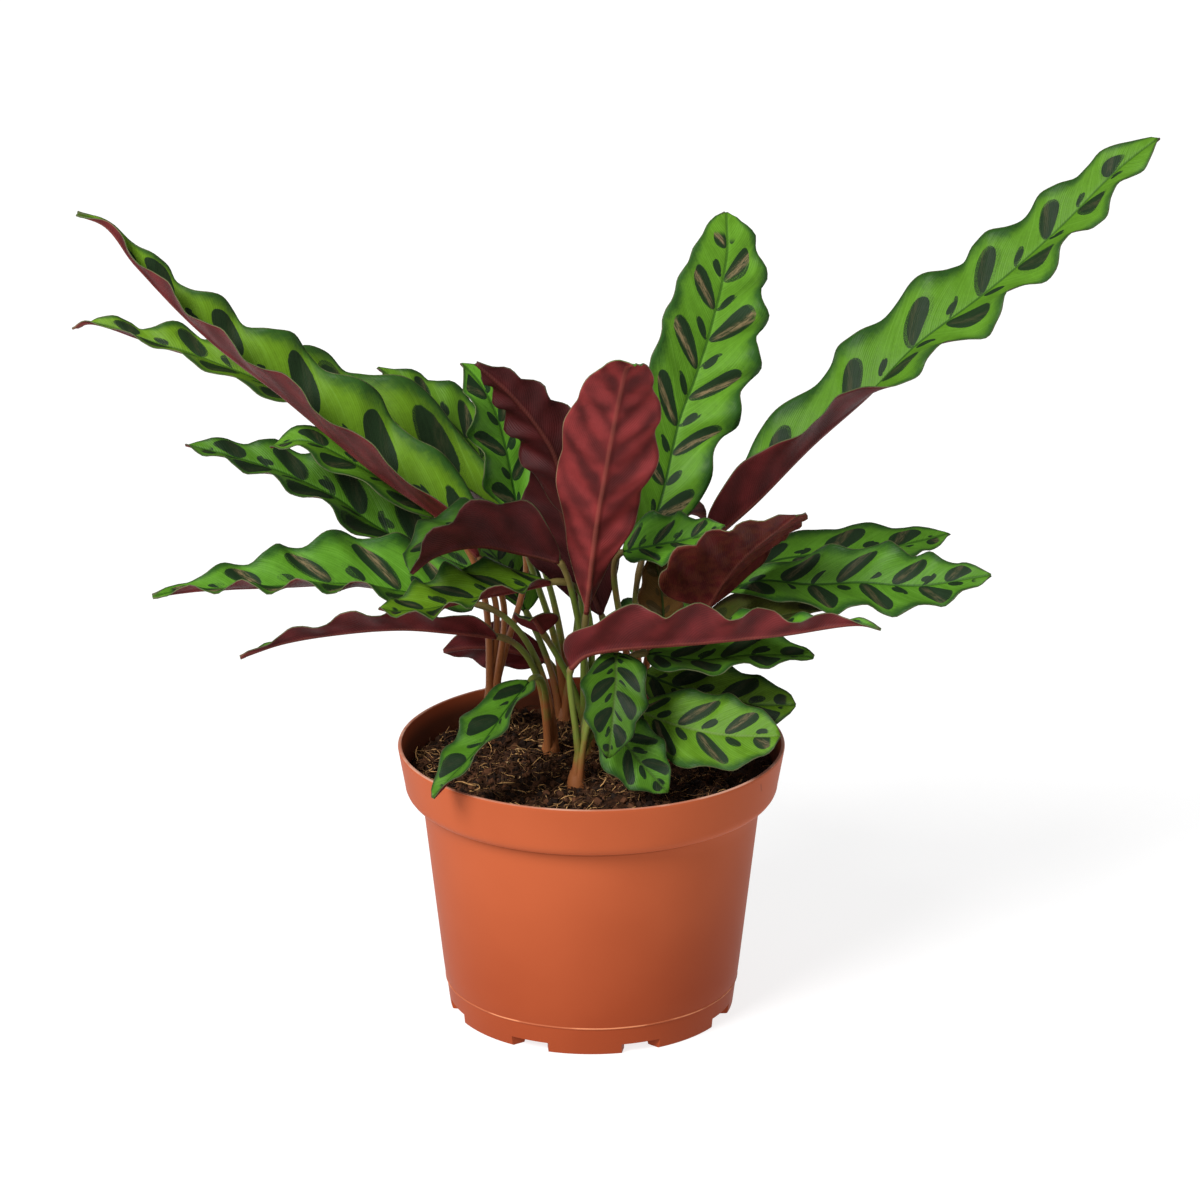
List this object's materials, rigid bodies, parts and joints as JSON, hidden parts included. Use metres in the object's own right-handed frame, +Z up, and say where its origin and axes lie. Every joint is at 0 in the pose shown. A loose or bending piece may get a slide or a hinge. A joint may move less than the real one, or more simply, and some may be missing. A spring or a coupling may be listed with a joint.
{
  "type": "potted plant",
  "caption": "Leafy houseplant with long waved, dark-spotted leaves, wine-red underneath, in a round terracotta-coloured nursery pot.",
  "frame": {"origin": "on the pot's axis at floor level, in the middle of the pot's underside", "axes": "+Z up; the plant's longest reach is along X; the fullest side, shown in the picture, faces -Y"},
  "size_m": [0.4496, 0.2061, 0.3568],
  "materials": {
    "pot": "satin",
    "soil": "matte",
    "leaf_green": "satin",
    "leaf_dark": "satin",
    "leaf_wine": "satin",
    "stalk_green": "satin",
    "stalk_brown": "satin"
  },
  "bodies": {
    "root": {"pot": "pot", "soil": "soil", "shoot_front": "stalk_green", "shoot_left_front": "stalk_green", "shoot_left": "stalk_brown", "shoot_middle": "stalk_green", "shoot_back": "stalk_green", "shoot_right": "stalk_brown", "shoot_right_front": "stalk_green", "leaf_left_long": "leaf_green", "leaf_left_long_behind": "leaf_green", "leaf_left_middle": "leaf_green", "leaf_left_hooked": "leaf_green", "leaf_left_low": "leaf_green", "leaf_left_folded": "leaf_wine", "leaf_near_left_wine": "leaf_wine", "leaf_near_left_green": "leaf_green", "leaf_back_left": "leaf_green", "leaf_upright_green": "leaf_green", "leaf_arching_wine": "leaf_wine", "leaf_dark_wine": "leaf_wine", "leaf_centre_wine": "leaf_wine", "leaf_tall_green": "leaf_green", "leaf_right_long": "leaf_green", "leaf_back_small": "leaf_wine", "leaf_curled_small": "leaf_green", "leaf_right_wine": "leaf_wine", "leaf_young_behind": "leaf_dark", "leaf_right_green": "leaf_green", "leaf_right_behind": "leaf_green", "leaf_front_folded": "leaf_wine", "leaf_front_right_upper": "leaf_green", "leaf_front_right_middle": "leaf_green", "leaf_front_right_lower": "leaf_green", "leaf_front_hanging": "leaf_green", "leaf_front_hanging_low": "leaf_green", "leaf_over_rim": "leaf_green", "leaf_low_wine": "leaf_wine", "leaf_right_low_dark": "leaf_dark", "leaf_small_wine": "leaf_wine", "leaf_rear_left": "leaf_green", "leaf_rear_middle": "leaf_green", "leaf_rear_right": "leaf_green"}
  },
  "joints": []
}
